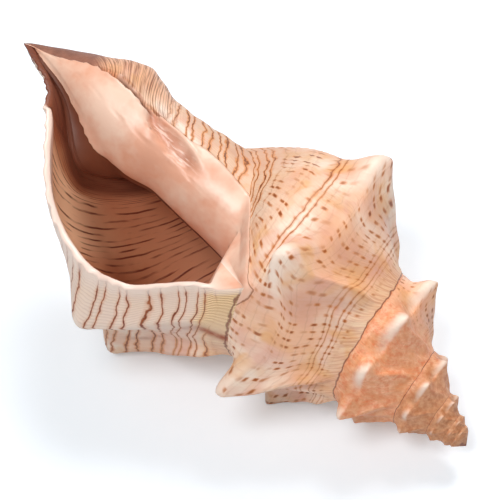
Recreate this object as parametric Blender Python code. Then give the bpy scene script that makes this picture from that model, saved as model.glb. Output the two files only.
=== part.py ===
"""A striped fox shell: a whole adult horse conch, lying as it rests, with its mouth up.

The animal adds to the edge of one coiled tube all its life, so the whole wall follows one rule.
Each step of growth turns the lip about the axis, widens it and moves it down the axis by fixed
shares. The wall is made as a flat sheet of growth steps by profile rows, which that rule coils up.
"""

import math

import bmesh
import bpy
import numpy as np
from mathutils import Matrix, Vector

MM = 0.001

# Growth: turns count back from the lip, so the lip is at 0 and one whorl earlier is at -1.
RADIAL_RATE = 0.545  # natural logarithm of the widening in one turn
AXIAL_RATE = 0.628  # the same for the distance below the apex
TURNS = 6.1
APEX_RISE = 0.4  # mm that the rounded first whorl stands above the point that the spiral shrinks to
LIP_ANGLE = -60.0  # degrees round the axis

# The lip's outline from the suture down to the canal, in rows of
# (station, radius mm, drop below the apex mm, degrees ahead of LIP_ANGLE).
LIP_OUTLINE = [
    (0.00, 27.5, 61.8, 37.0),
    (0.06, 29.1, 66.0, 27.5),
    (0.14, 31.6, 71.8, 20.0),
    (0.21, 34.0, 76.8, 10.5),
    (0.28, 36.8, 81.8, 2.5),
    (0.35, 39.2, 86.6, 1.5),
    (0.42, 41.4, 91.0, 3.0),
    (0.48, 40.2, 97.2, 0.5),
    (0.55, 37.7, 105.6, 0.0),
    (0.63, 33.4, 114.3, 3.0),
    (0.71, 26.2, 123.0, 7.0),
    (0.80, 17.8, 131.5, 12.0),
    (1.00, 8.0, 150.0, 20.0),
]
SHOULDER, SUTURE, NECK, TIP = 0.42, 0.55, 0.80, 1.0
OUTLINE_OF = {row[0]: row[1:] for row in LIP_OUTLINE}

# The pillar that the whorls turn about: (drop below the apex mm, radius mm).
AXIS_LENGTH = 150.5
PILLAR = [
    (20, 1.4), (50, 4.0), (80, 7.6), (93, 9.3), (104, 9.6), (116, 9.9), (122, 9.5),
    (128.5, 8.2), (135, 5.9), (140, 3.8), (145.5, 1.9), (AXIS_LENGTH, 0.0),
]
# The axis isn't quite straight: (drop mm, sideways mm).
LEAN = [
    (0, -0.3), (15, -0.1), (33, 0.0), (58, -0.3), (90, -1.0), (104, 0.0), (116, 0.8), (128, 0.8),
    (135, 1.6), (140, 2.7), (145.5, 4.5), (AXIS_LENGTH, 6.0),
]
CANAL_FLARE, CANAL_FLARE_DROP, CANAL_FLARE_REACH = 3.3, 141.5, 7.5

# The knobs of the last whorl and a bit more: (turns, height mm, half width degrees, push down the axis mm).
# Heights are for a knob at the lip, and shrink back in time with the shell.
KNOBS = [
    (-0.055, 8.5, 14.0, 0.0),
    (-0.165, 15.5, 18.0, 2.0),
    (-0.345, 9.6, 14.0, 0.0),
    (-0.490, 5.0, 14.0, 0.0),
    (-0.633, 12.5, 13.0, 2.0),
    (-0.735, 2.0, 12.0, 0.0),
    (-0.835, 13.0, 14.0, 10.5),
    (-1.045, 21.0, 12.5, 7.0),
    (-1.185, 20.6, 12.5, 3.0),
    (-1.350, 17.0, 14.0, 0.0),
    (-1.490, 16.0, 14.0, 0.0),
    (-1.620, 15.5, 14.0, 0.0),
    (-1.750, 12.0, 15.0, 0.0),
    (-1.880, 13.0, 14.0, 0.0),
    (-2.010, 17.0, 14.0, 0.0),
]
SPIRE_KNOB_START, SPIRE_KNOB_STEP = -2.14, 0.13
SPIRE_KNOB = (10.0, 14.0, 0.0)

# The glaze that the lip lays on the last whorl ends at these turns: (station, turns).
GLAZE_EDGE = [
    (0.45, -0.897), (0.55, -0.887), (0.60, -0.872), (0.70, -0.855), (0.76, -0.825), (0.80, -0.795),
    (0.84, -0.785), (0.86, -0.800),
]
GLAZE, SHIELD, HOLLOW, FASCIOLE = 0.9, 2.2, 3.4, 2.8

RIM, WALL = 1.7, 2.8  # thickness at the lip and deeper in, mm
CAVITY_TURNS = 1.0
CAVITY_NECK = 0.78  # station where the cavity ends once it is behind the canal
# Glaze fills the hollow's corner by the suture, thickest at the lip. Rows of
# (turns, reach along the outer wall mm, reach along the whorl before mm, share of the corner filled).
CORNER_GLAZE = [
    (-1.00, 2.5, 2.5, 0.0), (-0.40, 5.0, 5.0, 0.0), (-0.22, 9.0, 14.0, 0.6),
    (-0.10, 12.0, 24.0, 1.05), (0.00, 9.5, 24.0, 1.1),
]

# Steps and rows of the sheet.
STEPS = 40  # from a suture to the same suture one whorl on
UPPER_ROWS = [0, 0.08, 0.16, 0.24, 0.31, 0.37, 0.42, 0.465, 0.51, SUTURE]
LOWER_ROWS = [0.60, 0.65, 0.70, 0.75, NECK, 0.825, 0.85, 0.875, 0.90, 0.925, 0.95, 0.97, 0.985, TIP]
CAVITY_RINGS = 40

# How it lies: turned about its own axis, laid down with the apex low, and headed on the floor.
OWN_TURN, APEX_DIP, HEADING = -156.8, 21.3, -42.0  # degrees
WORN_FLAT = 0.9  # mm worn off the knobs that it rests on


def along(x, points):
    """A smooth curve through rows of (position, values), level beyond its ends."""
    table = np.asarray(points, float)
    at, values = table[:, 0], table[:, 1:]
    slope = np.empty_like(values)
    slope[1:-1] = (values[2:] - values[:-2]) / (at[2:] - at[:-2])[:, None]
    slope[0] = (values[1] - values[0]) / (at[1] - at[0])
    slope[-1] = (values[-1] - values[-2]) / (at[-1] - at[-2])
    x = np.asarray(x, float)
    i = np.clip(np.searchsorted(at, x, side="right") - 1, 0, len(at) - 2)
    gap = (at[i + 1] - at[i])[..., None]
    s = np.clip((x[..., None] - at[i][..., None]) / gap, 0, 1)
    start = (2 * s**3 - 3 * s**2 + 1) * values[i] + (s**3 - 2 * s**2 + s) * gap * slope[i]
    end = (3 * s**2 - 2 * s**3) * values[i + 1] + (s**3 - s**2) * gap * slope[i + 1]
    result = start + end
    return result[..., 0] if result.shape[-1] == 1 else result


def ease(low, high, x):
    """0 below low, 1 above high, smooth between."""
    s = np.clip((x - low) / (high - low), 0, 1)
    return s * s * (3 - 2 * s)


def bell(x, centre, half_width):
    return np.exp(-(((x - centre) / half_width) ** 2))


# Turns from one suture to the next: the lip's outline lags at its upper end, so it is under 1.
WHORL = 1 - (OUTLINE_OF[0.0][2] - OUTLINE_OF[SUTURE][2]) / 360


def knobs():
    """Every knob, from the lip to the apex."""
    turn = SPIRE_KNOB_START
    rows = list(KNOBS)
    while turn > -TURNS:
        rows.append((turn,) + SPIRE_KNOB)
        turn -= SPIRE_KNOB_STEP
    return rows


def glaze_relief(turn, station, angle, drop):
    """Height in mm that the glaze, the shield beside the canal and the old canal's ridge add."""
    round_ = angle + 360
    edge = along(np.clip(station, 0.45, 0.86), GLAZE_EDGE)
    glaze = (1 - ease(edge - 0.004, edge + 0.004, turn)) * ease(0.50, 0.56, station)
    height = GLAZE * glaze * (1 - ease(0.84, 0.90, station))
    shield = (1 - ease(4, 14, round_)) * ease(98, 108, drop) * (1 - 0.8 * ease(138, 147, drop))
    height += SHIELD * shield * ease(0.82, 0.88, station)
    hollow = bell(round_, 20, 9) * ease(94, 104, drop) * (1 - ease(126, 134, drop))
    height -= HOLLOW * hollow * ease(0.78, 0.84, station)
    ridge = bell(drop, 124.8 - 0.03 * round_, 6.5) * ease(14, 40, round_) * (1 - ease(190, 230, round_))
    height += FASCIOLE * ridge * ease(0.80, 0.86, station)
    return height * ease(0, 6, AXIS_LENGTH - drop)


def wall(turn, station, knob_share=1.0, glazed=True):
    """Radius in mm, degrees round the axis and drop in mm of the outer surface."""
    radius, drop, lag = np.moveaxis(along(station, LIP_OUTLINE), -1, 0)
    wider = np.exp(RADIAL_RATE * turn)
    lower = np.exp(AXIAL_RATE * turn)
    radius = radius * wider
    drop = drop * lower
    # On older whorls the part below the shoulder tucks in to meet the next whorl's upper edge.
    top_radius, top_drop = OUTLINE_OF[0.0][:2]
    suture_radius, suture_drop = OUTLINE_OF[SUTURE][:2]
    old = 1 - ease(-0.92, -0.62, turn)
    tuck = old * ease(SHOULDER, SUTURE, station) * (1 - ease(SUTURE, NECK + 0.05, station))
    radius += tuck * (top_radius * math.exp(RADIAL_RATE * WHORL) - suture_radius) * wider
    drop += tuck * (top_drop * math.exp(AXIAL_RATE * WHORL) - suture_drop) * lower
    # Below the neck the wall runs down to the canal's tip, which stays put as the shell turns.
    share = np.clip((station - NECK) / (TIP - NECK), 0, 1)
    neck_radius, neck_drop = OUTLINE_OF[NECK][0] * wider, OUTLINE_OF[NECK][1] * lower
    canal_drop = neck_drop + (AXIS_LENGTH - neck_drop) * share
    canal_radius = along(canal_drop, PILLAR)
    canal_radius += (neck_radius - along(neck_drop, PILLAR)) * (1 - share) ** 3.2
    canal_radius += CANAL_FLARE * bell(canal_drop, CANAL_FLARE_DROP, CANAL_FLARE_REACH) * ease(-0.2, 0, turn)
    radius = np.where(station > NECK, canal_radius, radius)
    drop = np.where(station > NECK, canal_drop, drop)
    angle = LIP_ANGLE + 360 * turn + lag
    if glazed:
        radius = radius + glaze_relief(turn, station, angle, drop)
    # Each knob tops a fold that rises from the suture, and drops off steeply below the shoulder.
    fold = 0.62 * ease(0.0, 0.36, station) + 0.38 * bell(station, SHOULDER, 0.085)
    below = bell(station, SHOULDER, 0.08) * (1 - old * ease(SHOULDER + 0.03, SUTURE, station))
    rise = np.where(station < SHOULDER, fold * ease(0, 0.08, station), below) * knob_share
    for knob_turn, height, half_width, push in knobs():
        off = np.abs((turn - knob_turn) * 360 + 0.6 * lag) / half_width
        swell = np.exp(-(off**2.1)) * rise * math.exp(RADIAL_RATE * knob_turn)
        radius = radius + height * swell
        drop = drop + push * swell
    return radius, angle, drop


def placed(radius, angle, drop):
    """Points in metres, with the shell's axis on Z and the apex at the origin."""
    turn = np.radians(angle)
    lean = along(drop, LEAN)
    return MM * np.stack([radius * np.cos(turn), lean - radius * np.sin(turn), -drop], -1)


def sheet_stations():
    return np.array(UPPER_ROWS + LOWER_ROWS)


def skin_points():
    """Outer surface, growth steps by rows. A whorl's upper edge is the row that it grew on."""
    count = round(TURNS * STEPS / WHORL)
    turns = (np.arange(count + 1) - count) * WHORL / STEPS
    stations = sheet_stations()
    points = placed(*wall(*np.meshgrid(turns, stations, indexing="ij")))
    suture_row = len(UPPER_ROWS) - 1
    points[STEPS:, 0] = points[:-STEPS, suture_row]
    points[:STEPS, 0] = (0, 0, APEX_RISE * MM)
    points[:, -1] = points[-1, -1]
    return points


def filled_corner(sides, reaches, fill):
    """Two sides of a section that start at one corner, with the corner filled by a round arc."""
    corner = (sides[0][0] + sides[1][0]) / 2
    lengths, ends = [], []
    for side, reach in zip(sides, reaches):
        steps = np.diff(np.concatenate([corner[None], side]), axis=0)
        length = np.cumsum(np.linalg.norm(steps, axis=1)) / reach
        lengths.append(length)
        ends.append(np.array([np.interp(1, length, side[:, axis]) for axis in range(3)]))
    pull = corner + fill * ((ends[0] + ends[1]) / 2 - corner)
    filled = []
    for side, length, near, far in zip(sides, lengths, ends, ends[::-1]):
        share = 0.5 * (1 - np.clip(length, 0, 1))[:, None]
        arc = (1 - share) ** 2 * near + 2 * share * (1 - share) * pull + share**2 * far
        filled.append(np.where(share > 0, arc, side))
    return filled


def cavity_ring(turn, inner_lead):
    """One section of the hollow: the outer wall from the suture to the canal, then back up the pillar."""
    stations = sheet_stations()
    behind = ease(0, 0.13, -turn)
    end = TIP - (TIP - CAVITY_NECK) * behind
    outer = np.where(stations < 0.7, stations, 0.7 + (stations - 0.7) * (end - 0.7) / 0.3)
    radius, angle, drop = wall(np.full_like(outer, turn), outer, knob_share=0.75, glazed=False)
    step_out, step_down = np.gradient(radius), np.gradient(drop)
    length = np.hypot(step_out, step_down) + 1e-9
    thick = (RIM + (WALL - RIM) * ease(0, 0.25, -turn)) * math.exp(RADIAL_RATE * turn)
    thick = thick * (1 - 0.35 * ease(0.8, 1.0, stations))
    radius = np.maximum(radius - thick * step_down / length, 0.4)
    drop = drop + thick * step_out / length
    drop = drop + 1.2 * thick * (1 - ease(0, 0.10, stations) - ease(0.93, 1.0, stations))
    # The inner side is the wall of the whorl before, as far down as the outer side reaches.
    before = turn - WHORL - inner_lead
    neck_drop = OUTLINE_OF[NECK][1] * math.exp(AXIAL_RATE * before)
    reach = NECK + (TIP - NECK) * np.clip((drop[-1] - neck_drop) / (AXIS_LENGTH - neck_drop), 0, 1)
    rows = np.array(LOWER_ROWS[-2::-1])
    inner = SUTURE + (rows - SUTURE) * (reach - SUTURE) / (TIP - SUTURE)
    back = wall(np.full_like(inner, before), inner)
    reach_out, reach_back, fill = along(turn, CORNER_GLAZE)
    sides = [placed(radius, angle, drop), placed(*back)[::-1]]
    front, back = filled_corner(sides, (MM * reach_out, MM * reach_back), fill)
    return np.concatenate([front, back[::-1]])


def cavity_points(skin):
    """Rings from the lip's edge inwards, ending in a rounded blind end."""
    suture_row = len(UPPER_ROWS) - 1
    lip = np.concatenate([skin[-1], skin[-1 - STEPS, -2:suture_row:-1]])
    turns = -CAVITY_TURNS * np.arange(CAVITY_RINGS + 1) / CAVITY_RINGS
    rings = [lip] + [cavity_ring(turn, 0.6 * WHORL / STEPS) for turn in turns]
    for back, share in ((3, 0.9), (2, 0.7), (1, 0.35)):
        centre = rings[-back].mean(axis=0)
        rings[-back] = centre + share * (rings[-back] - centre)
    rings.append(np.repeat(rings[-1].mean(axis=0)[None], len(lip), axis=0))
    rings = np.array(rings)
    return np.concatenate([rings, rings[:, :1]], axis=1)


def add_sheet(mesh, points, covered=None):
    """A flat grid whose points are moved to their places. Faces that covered() names are left out."""
    steps, rows = points.shape[0] - 1, points.shape[1] - 1
    grid = bmesh.ops.create_grid(mesh, x_segments=steps, y_segments=rows, size=1)["verts"]
    spot = {}
    for vert in grid:
        spot[vert] = (round((vert.co.x + 1) / 2 * steps), round((vert.co.y + 1) / 2 * rows))
        vert.co = Vector(points[spot[vert]])
    if covered:
        faces = {face for vert in grid for face in vert.link_faces}
        hidden = [face for face in faces if covered(min(spot[vert] for vert in face.verts))]
        bmesh.ops.delete(mesh, geom=hidden, context="FACES")


def shell_mesh():
    skin = skin_points()
    suture_row = len(UPPER_ROWS) - 1
    last_whorl = len(skin) - 1 - STEPS
    mesh = bmesh.new()
    add_sheet(mesh, skin, lambda at: at[0] < last_whorl and at[1] >= suture_row)
    add_sheet(mesh, cavity_points(skin))
    bmesh.ops.remove_doubles(mesh, verts=mesh.verts, dist=0.00001)
    bmesh.ops.holes_fill(mesh, edges=mesh.edges)
    bmesh.ops.triangulate(mesh, faces=mesh.faces)
    bmesh.ops.recalc_face_normals(mesh, faces=mesh.faces)
    return mesh


def lay_down(mesh):
    """Turns the shell to where it rests, wears the lowest knobs flat, and centres it on the floor."""
    lie = (
        Matrix.Rotation(math.radians(HEADING), 4, "Z")
        @ Matrix.Rotation(math.radians(90 + APEX_DIP), 4, "Y")
        @ Matrix.Rotation(math.radians(OWN_TURN), 4, "Z")
    )
    bmesh.ops.transform(mesh, matrix=lie, verts=mesh.verts)
    lowest = min(vert.co.z for vert in mesh.verts)
    floor = Vector((0, 0, lowest + WORN_FLAT * MM))
    everything = mesh.verts[:] + mesh.edges[:] + mesh.faces[:]
    bmesh.ops.bisect_plane(mesh, geom=everything, plane_co=floor, plane_no=(0, 0, -1), clear_outer=True)
    bmesh.ops.holes_fill(mesh, edges=mesh.edges)
    bmesh.ops.triangulate(mesh, faces=mesh.faces)
    low = [min(vert.co[axis] for vert in mesh.verts) for axis in range(3)]
    high = [max(vert.co[axis] for vert in mesh.verts) for axis in range(3)]
    centre = Vector(((low[0] + high[0]) / 2, (low[1] + high[1]) / 2, low[2]))
    bmesh.ops.translate(mesh, vec=-centre, verts=mesh.verts)


def shell_material():
    material = bpy.data.materials.new("peach shell")
    material.use_nodes = True
    shader = material.node_tree.nodes["Principled BSDF"]
    shader.inputs["Base Color"].default_value = (0.85, 0.60, 0.45, 1)
    shader.inputs["Roughness"].default_value = 0.45
    return material


def main():
    for old in list(bpy.data.objects):
        bpy.data.objects.remove(old, do_unlink=True)
    bpy.context.scene.unit_settings.system = "METRIC"
    collection = bpy.data.collections.new("striped_fox_shell")
    bpy.context.scene.collection.children.link(collection)
    mesh = shell_mesh()
    lay_down(mesh)
    data = bpy.data.meshes.new("shell")
    mesh.to_mesh(data)
    mesh.free()
    data.materials.append(shell_material())
    data.shade_smooth()
    data.set_sharp_from_angle(angle=math.radians(50))
    collection.objects.link(bpy.data.objects.new("shell", data))


main()
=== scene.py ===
# %% [markdown]
# # A striped fox shell
#
# The striped fox is a horse conch, the shell of a big sea snail. This one is an adult's, resting on
# its knobs with the wide mouth up. The snail built it by adding to the edge of one coiled tube all
# its life, so this lesson makes the whole wall from one growth rule, and then gives it the finishes
# of the real one: striped peach skin, smooth glaze by the mouth and a brown lining.

# %% Load the plain model
import math

import bmesh
import bpy
import numpy as np
from mathutils import Matrix, Vector


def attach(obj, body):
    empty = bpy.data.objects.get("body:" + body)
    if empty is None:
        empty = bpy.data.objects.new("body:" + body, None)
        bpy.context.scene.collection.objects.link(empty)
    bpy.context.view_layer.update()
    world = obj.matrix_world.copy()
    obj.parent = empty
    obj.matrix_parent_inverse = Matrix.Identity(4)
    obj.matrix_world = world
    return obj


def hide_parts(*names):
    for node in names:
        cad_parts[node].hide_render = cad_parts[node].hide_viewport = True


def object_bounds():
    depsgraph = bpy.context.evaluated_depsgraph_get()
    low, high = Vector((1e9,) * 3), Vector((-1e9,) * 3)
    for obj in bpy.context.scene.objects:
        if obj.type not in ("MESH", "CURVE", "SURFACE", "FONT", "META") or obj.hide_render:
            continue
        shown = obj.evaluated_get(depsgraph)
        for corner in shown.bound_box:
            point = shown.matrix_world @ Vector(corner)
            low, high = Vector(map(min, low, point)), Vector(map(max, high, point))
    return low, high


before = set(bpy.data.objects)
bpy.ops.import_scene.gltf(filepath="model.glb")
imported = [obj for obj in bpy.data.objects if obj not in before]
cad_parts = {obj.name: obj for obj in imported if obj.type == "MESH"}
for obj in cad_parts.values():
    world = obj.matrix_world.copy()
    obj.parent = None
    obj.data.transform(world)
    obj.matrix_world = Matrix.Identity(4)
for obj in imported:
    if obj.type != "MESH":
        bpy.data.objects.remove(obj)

cad_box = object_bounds()
print("plain model, mm:", [[round(1000 * x, 1) for x in corner] for corner in cad_box])

# %% [markdown]
# ## How the shell grew
#
# A coiled shell is a widening tube. Every bit of growth turns the lip about the axis, widens it
# and moves it down the axis by fixed shares, so the whorls are small copies of one another. The
# shell could be sculpted, or a tube could be bent along a spiral. A growth rule is used instead,
# because it gives knobs, stripes and growth lines that run as real ones do.
#
# Time is counted in turns back from the lip, which is at 0. The lip's outline is a row of
# stations, 0 at the seam with the older whorl (the suture) and 1 at the tip of the canal.

# %% The growth numbers
MM = 0.001
RADIAL_RATE = 0.545  # natural logarithm of the widening in one turn
AXIAL_RATE = 0.628  # the same for the distance below the apex
TURNS = 6.1
APEX_RISE = 0.4  # mm that the rounded first whorl stands above the point that the spiral shrinks to
LIP_ANGLE = -60.0  # degrees round the axis
# Station, radius mm, drop below the apex mm, degrees ahead of LIP_ANGLE.
LIP_OUTLINE = [
    (0.00, 27.5, 61.8, 37.0), (0.06, 29.1, 66.0, 27.5), (0.14, 31.6, 71.8, 20.0),
    (0.21, 34.0, 76.8, 10.5), (0.28, 36.8, 81.8, 2.5), (0.35, 39.2, 86.6, 1.5),
    (0.42, 41.4, 91.0, 3.0), (0.48, 40.2, 97.2, 0.5), (0.55, 37.7, 105.6, 0.0),
    (0.63, 33.4, 114.3, 3.0), (0.71, 26.2, 123.0, 7.0), (0.80, 17.8, 131.5, 12.0),
    (1.00, 8.0, 150.0, 20.0),
]
SHOULDER, SUTURE, NECK, TIP = 0.42, 0.55, 0.80, 1.0
OUTLINE_OF = {row[0]: row[1:] for row in LIP_OUTLINE}
WHORL = 1 - (OUTLINE_OF[0.0][2] - OUTLINE_OF[SUTURE][2]) / 360
TURN_MM, STATION_MM = 250, 110  # mm of wall at the lip in one turn, and in one unit of stations
print("turns from a suture to the next:", round(WHORL, 3))

# %% [markdown]
# The whorls turn about a pillar, which is never quite straight. Below the neck the wall runs down
# that pillar to the tip of the canal, the gutter that the snail breathed through.

# %% The pillar and the canal
AXIS_LENGTH = 150.5
# Drop below the apex mm, radius mm.
PILLAR = [
    (20, 1.4), (50, 4.0), (80, 7.6), (93, 9.3), (104, 9.6), (116, 9.9), (122, 9.5),
    (128.5, 8.2), (135, 5.9), (140, 3.8), (145.5, 1.9), (AXIS_LENGTH, 0.0),
]
# Drop mm, sideways mm.
LEAN = [
    (0, -0.3), (15, -0.1), (33, 0.0), (58, -0.3), (90, -1.0), (104, 0.0), (116, 0.8), (128, 0.8),
    (135, 1.6), (140, 2.7), (145.5, 4.5), (AXIS_LENGTH, 6.0),
]
# Near its tip the canal's edge flares out: how much, where, and how far along it, in mm.
CANAL_FLARE, CANAL_FLARE_DROP, CANAL_FLARE_REACH = 3.3, 141.5, 7.5
print("from the apex to the canal's tip, mm:", AXIS_LENGTH)

# %% [markdown]
# At times the snail's mantle pushed out a fold, which left a knob on the shoulder. Each has its
# own place and height. Heights are for a knob at the lip and shrink back in time with the shell.

# %% The knobs
# Turns, height mm, half width degrees, push down the axis mm.
KNOBS = [
    (-0.055, 8.5, 14.0, 0.0), (-0.165, 15.5, 18.0, 2.0), (-0.345, 9.6, 14.0, 0.0),
    (-0.490, 5.0, 14.0, 0.0), (-0.633, 12.5, 13.0, 2.0), (-0.735, 2.0, 12.0, 0.0),
    (-0.835, 13.0, 14.0, 10.5), (-1.045, 21.0, 12.5, 7.0), (-1.185, 20.6, 12.5, 3.0),
    (-1.350, 17.0, 14.0, 0.0), (-1.490, 16.0, 14.0, 0.0), (-1.620, 15.5, 14.0, 0.0),
    (-1.750, 12.0, 15.0, 0.0), (-1.880, 13.0, 14.0, 0.0), (-2.010, 17.0, 14.0, 0.0),
]
SPIRE_KNOB_START, SPIRE_KNOB_STEP, SPIRE_KNOB = -2.14, 0.13, (10.0, 14.0, 0.0)
turn = SPIRE_KNOB_START
while turn > -TURNS:
    KNOBS.append((turn,) + SPIRE_KNOB)
    turn -= SPIRE_KNOB_STEP
print("knobs:", len(KNOBS))

# %% [markdown]
# Three small helpers draw every curve: one runs smoothly through a table, one eases from 0 to 1,
# and one makes a round bump.

# %% Smooth curves
def along(x, points):
    """A smooth curve through rows of (position, values), level beyond its ends."""
    table = np.asarray(points, float)
    at, values = table[:, 0], table[:, 1:]
    slope = np.empty_like(values)
    slope[1:-1] = (values[2:] - values[:-2]) / (at[2:] - at[:-2])[:, None]
    slope[0] = (values[1] - values[0]) / (at[1] - at[0])
    slope[-1] = (values[-1] - values[-2]) / (at[-1] - at[-2])
    x = np.asarray(x, float)
    i = np.clip(np.searchsorted(at, x, side="right") - 1, 0, len(at) - 2)
    gap = (at[i + 1] - at[i])[..., None]
    s = np.clip((x[..., None] - at[i][..., None]) / gap, 0, 1)
    start = (2 * s**3 - 3 * s**2 + 1) * values[i] + (s**3 - 2 * s**2 + s) * gap * slope[i]
    end = (3 * s**2 - 2 * s**3) * values[i + 1] + (s**3 - s**2) * gap * slope[i + 1]
    result = start + end
    return result[..., 0] if result.shape[-1] == 1 else result


def ease(low, high, x):
    """0 below low, 1 above high, smooth between."""
    s = np.clip((x - low) / (high - low), 0, 1)
    return s * s * (3 - 2 * s)


def bell(x, centre, half_width):
    return np.exp(-(((x - centre) / half_width) ** 2))


# %% [markdown]
# ## Glaze beside the mouth
#
# The snail's foot laid a smooth glaze over the last whorl beside the mouth. Lower down it stands
# up as a shield along the canal, with a long hollow behind it, and behind that is the rough ridge
# that the older canals left. They are low forms on the wall, so they are heights added to it.

# %% The glaze's margin
# Station, turns.
GLAZE_EDGE = [
    (0.45, -0.897), (0.55, -0.887), (0.60, -0.872), (0.70, -0.855), (0.76, -0.825), (0.80, -0.795),
    (0.84, -0.785), (0.86, -0.800),
]


def glaze_margin(station):
    """Turns back from the lip where the glaze on the last whorl starts."""
    return along(np.clip(station, 0.45, 0.86), GLAZE_EDGE)


def glaze_share(turn, station):
    """1 where the mouth's glaze covers the last whorl, and 0 on bare skin."""
    edge = glaze_margin(station)
    glaze = (1 - ease(edge - 0.004, edge + 0.004, turn)) * ease(0.50, 0.56, station)
    # On older whorls the glaze starts below the row where the next whorl sits, so it stays hidden.
    open_row = (1 - ease(-0.95, -0.91, turn)) * (1 - ease(0.55, 0.58, station))
    return glaze * (1 - ease(0.84, 0.90, station)) * (1 - open_row)


print("glaze starts, turns back from the lip:", GLAZE_EDGE[0][1])

# %% The shield and the hollow behind it
# Drop below the apex mm, and degrees round the axis where the shield's ragged edge lies.
SHIELD_EDGE = [
    (96, -9), (98.5, -5.7), (101.2, -3.5), (105.4, 2.3), (110.5, 10.7), (113, 20), (117.5, 25),
    (122.5, 24), (127.4, 22), (133, 18), (138.6, 4), (145, -5), (150, -10),
]
# The same for the far end of the hollow.
HOLLOW_END = [
    (88, 4), (91.8, 8), (98, 17), (102.3, 22.5), (107.5, 24.4), (111.4, 27), (117.5, 32),
    (122.5, 31), (128, 28), (134, 23), (150, 10),
]


def shield_edges(drop):
    """The shield's ragged edge and the hollow's end, in degrees round the axis."""
    ragged = 1.3 * np.sin(1.9 * drop) + 0.9 * np.sin(4.3 * drop + 1)
    return along(drop, SHIELD_EDGE) + ragged, along(drop, HOLLOW_END)


def shield_share(station, round_, drop):
    """1 on the shield, which rises at its upper end and thins out towards the canal's tip."""
    edge, end = shield_edges(drop)
    from_top_to_tip = ease(98, 108, drop) * (1 - 0.8 * ease(138, 147, drop))
    return (1 - ease(edge - 3, edge + 1.5, round_)) * from_top_to_tip * ease(0.82, 0.88, station)


def hollow_share(station, round_, drop):
    """1 in the middle of the hollow between the shield and the old canal's ridge."""
    edge, end = shield_edges(drop)
    across = np.clip((round_ - edge) / (end - edge), 0, 1)
    share = (4 * across * (1 - across)) ** 0.8 * ease(90, 98, drop) * (1 - ease(127, 133, drop))
    return share * ease(0.78, 0.84, station)


edge, end = shield_edges(np.array(105.0))
print("hollow, 105 mm below the apex: %.0f to %.0f degrees" % (edge, end))

# %% Heights of the glaze, shield, hollow and ridge
GLAZE, SHIELD, OLD_CANALS, HOLLOW_RIM = 0.9, 2.2, 2.8, 0.7  # mm high
HOLLOW_TOP_DEPTH, HOLLOW_DEPTH = 1.1, 3.4  # mm


def glaze_relief(turn, station, angle, drop):
    """Height in mm that the glaze, the shield beside the canal and the old canals' ridge add."""
    round_ = angle + 360
    slit = ease(110, 116, drop)  # lower down the hollow is a deep slit
    height = GLAZE * glaze_share(turn, station) + SHIELD * shield_share(station, round_, drop)
    depth = HOLLOW_TOP_DEPTH + (HOLLOW_DEPTH - HOLLOW_TOP_DEPTH) * slit
    height -= depth * hollow_share(station, round_, drop)
    edge, end = shield_edges(drop)
    rim_of_hollow = bell(round_, end + 3, 4) * ease(92, 98, drop) * (1 - slit)
    height += HOLLOW_RIM * rim_of_hollow * ease(0.80, 0.84, station)
    ridge = bell(drop, 124.8 - 0.03 * round_, 6.5)
    ridge = ridge * ease(14, 40, round_) * (1 - ease(190, 230, round_))
    height += OLD_CANALS * ridge * ease(0.80, 0.86, station)
    return height * ease(0, 6, AXIS_LENGTH - drop)


print("highest relief, mm:", max(GLAZE, SHIELD, OLD_CANALS), "and deepest:", HOLLOW_DEPTH)

# %% [markdown]
# ## The wall
#
# One function gives the wall at any turn and station. It widens the lip's outline, tucks the older
# whorls in under the next one, runs the neck down to the canal and adds the knobs and glaze. Fine
# relief is added on top: low spiral cords and coarse growth folds, a few tenths of a millimetre
# high, sharper crests on the knobs' folds, and the wear of years in the sand.

# %% Cords, crests and wear
def cords(turn, station):
    """Low spiral cords in mm, strongest on the neck, growth folds, and the lip's wavy edge."""
    neck = 0.05 + 0.16 * ease(0.55, 0.72, station) * (1 - ease(0.90, 0.97, station))
    cord = neck * np.sin(2 * math.pi * station / 0.021)
    beat = np.sin(2 * math.pi * turn / 0.047 + 2.0 * np.sin(2 * math.pi * turn / 0.31))
    fold = 0.10 * beat * ease(0.03, 0.12, station) * (1 - ease(0.82, 0.95, station))
    wave = 0.30 * np.sin(2 * math.pi * station / 0.047)
    wave += 0.12 * np.sin(2 * math.pi * station / 0.0195)
    edge = wave * ease(-0.030, 0, turn) * ease(0.02, 0.08, station) * (1 - ease(0.90, 0.97, station))
    return (cord + fold + edge) * np.exp(RADIAL_RATE * turn)


def keen_edges(turn, station, lag):
    """Height in mm of the folds' sharp crests, less the dips beside them and the wear between."""
    height, covered = 0.0 * (turn + station), 0.0 * (turn + station)
    ramp = ease(0.02, 0.12, station) * (1 - ease(0.36, 0.45, station))
    for knob_turn, tall, half_width, push in KNOBS:
        off = ((turn - knob_turn - 0.008) * 360 + 0.12 * lag) / half_width
        crest = 0.26 * np.exp(-((np.abs(off) / 0.30) ** 1.3))
        crest -= 0.13 * bell(off, -0.8, 0.45) + 0.05 * bell(off, 0.9, 0.5)
        height = height + tall * math.exp(RADIAL_RATE * knob_turn) * crest * ramp
        covered = np.maximum(covered, bell((turn - knob_turn) * 360 / half_width, 0, 0.9))
    # The shoulder is worn round between the oldest knobs of the last whorl, and on older whorls.
    worn = ease(-1.02, -0.92, turn) * (1 - ease(-0.62, -0.52, turn))
    old_worn = 2.4 * (1 - ease(-1.5, -1.2, turn)) * np.exp(RADIAL_RATE * turn) * (1 - covered)
    return height - np.maximum(0.9 * worn, old_worn) * bell(station, SHOULDER, 0.045)


def worn_knob(knob_turn):
    """What the wear has left of a knob: six tenths, by the apex."""
    return 0.6 + 0.4 * ease(-4.2, -3.2, knob_turn)


# %% Old whorls and the canal
def old_share(turn):
    """1 on the whorls that a later one has grown over, and 0 on the open one."""
    return 1 - ease(-0.92, -0.62, turn)


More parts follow.
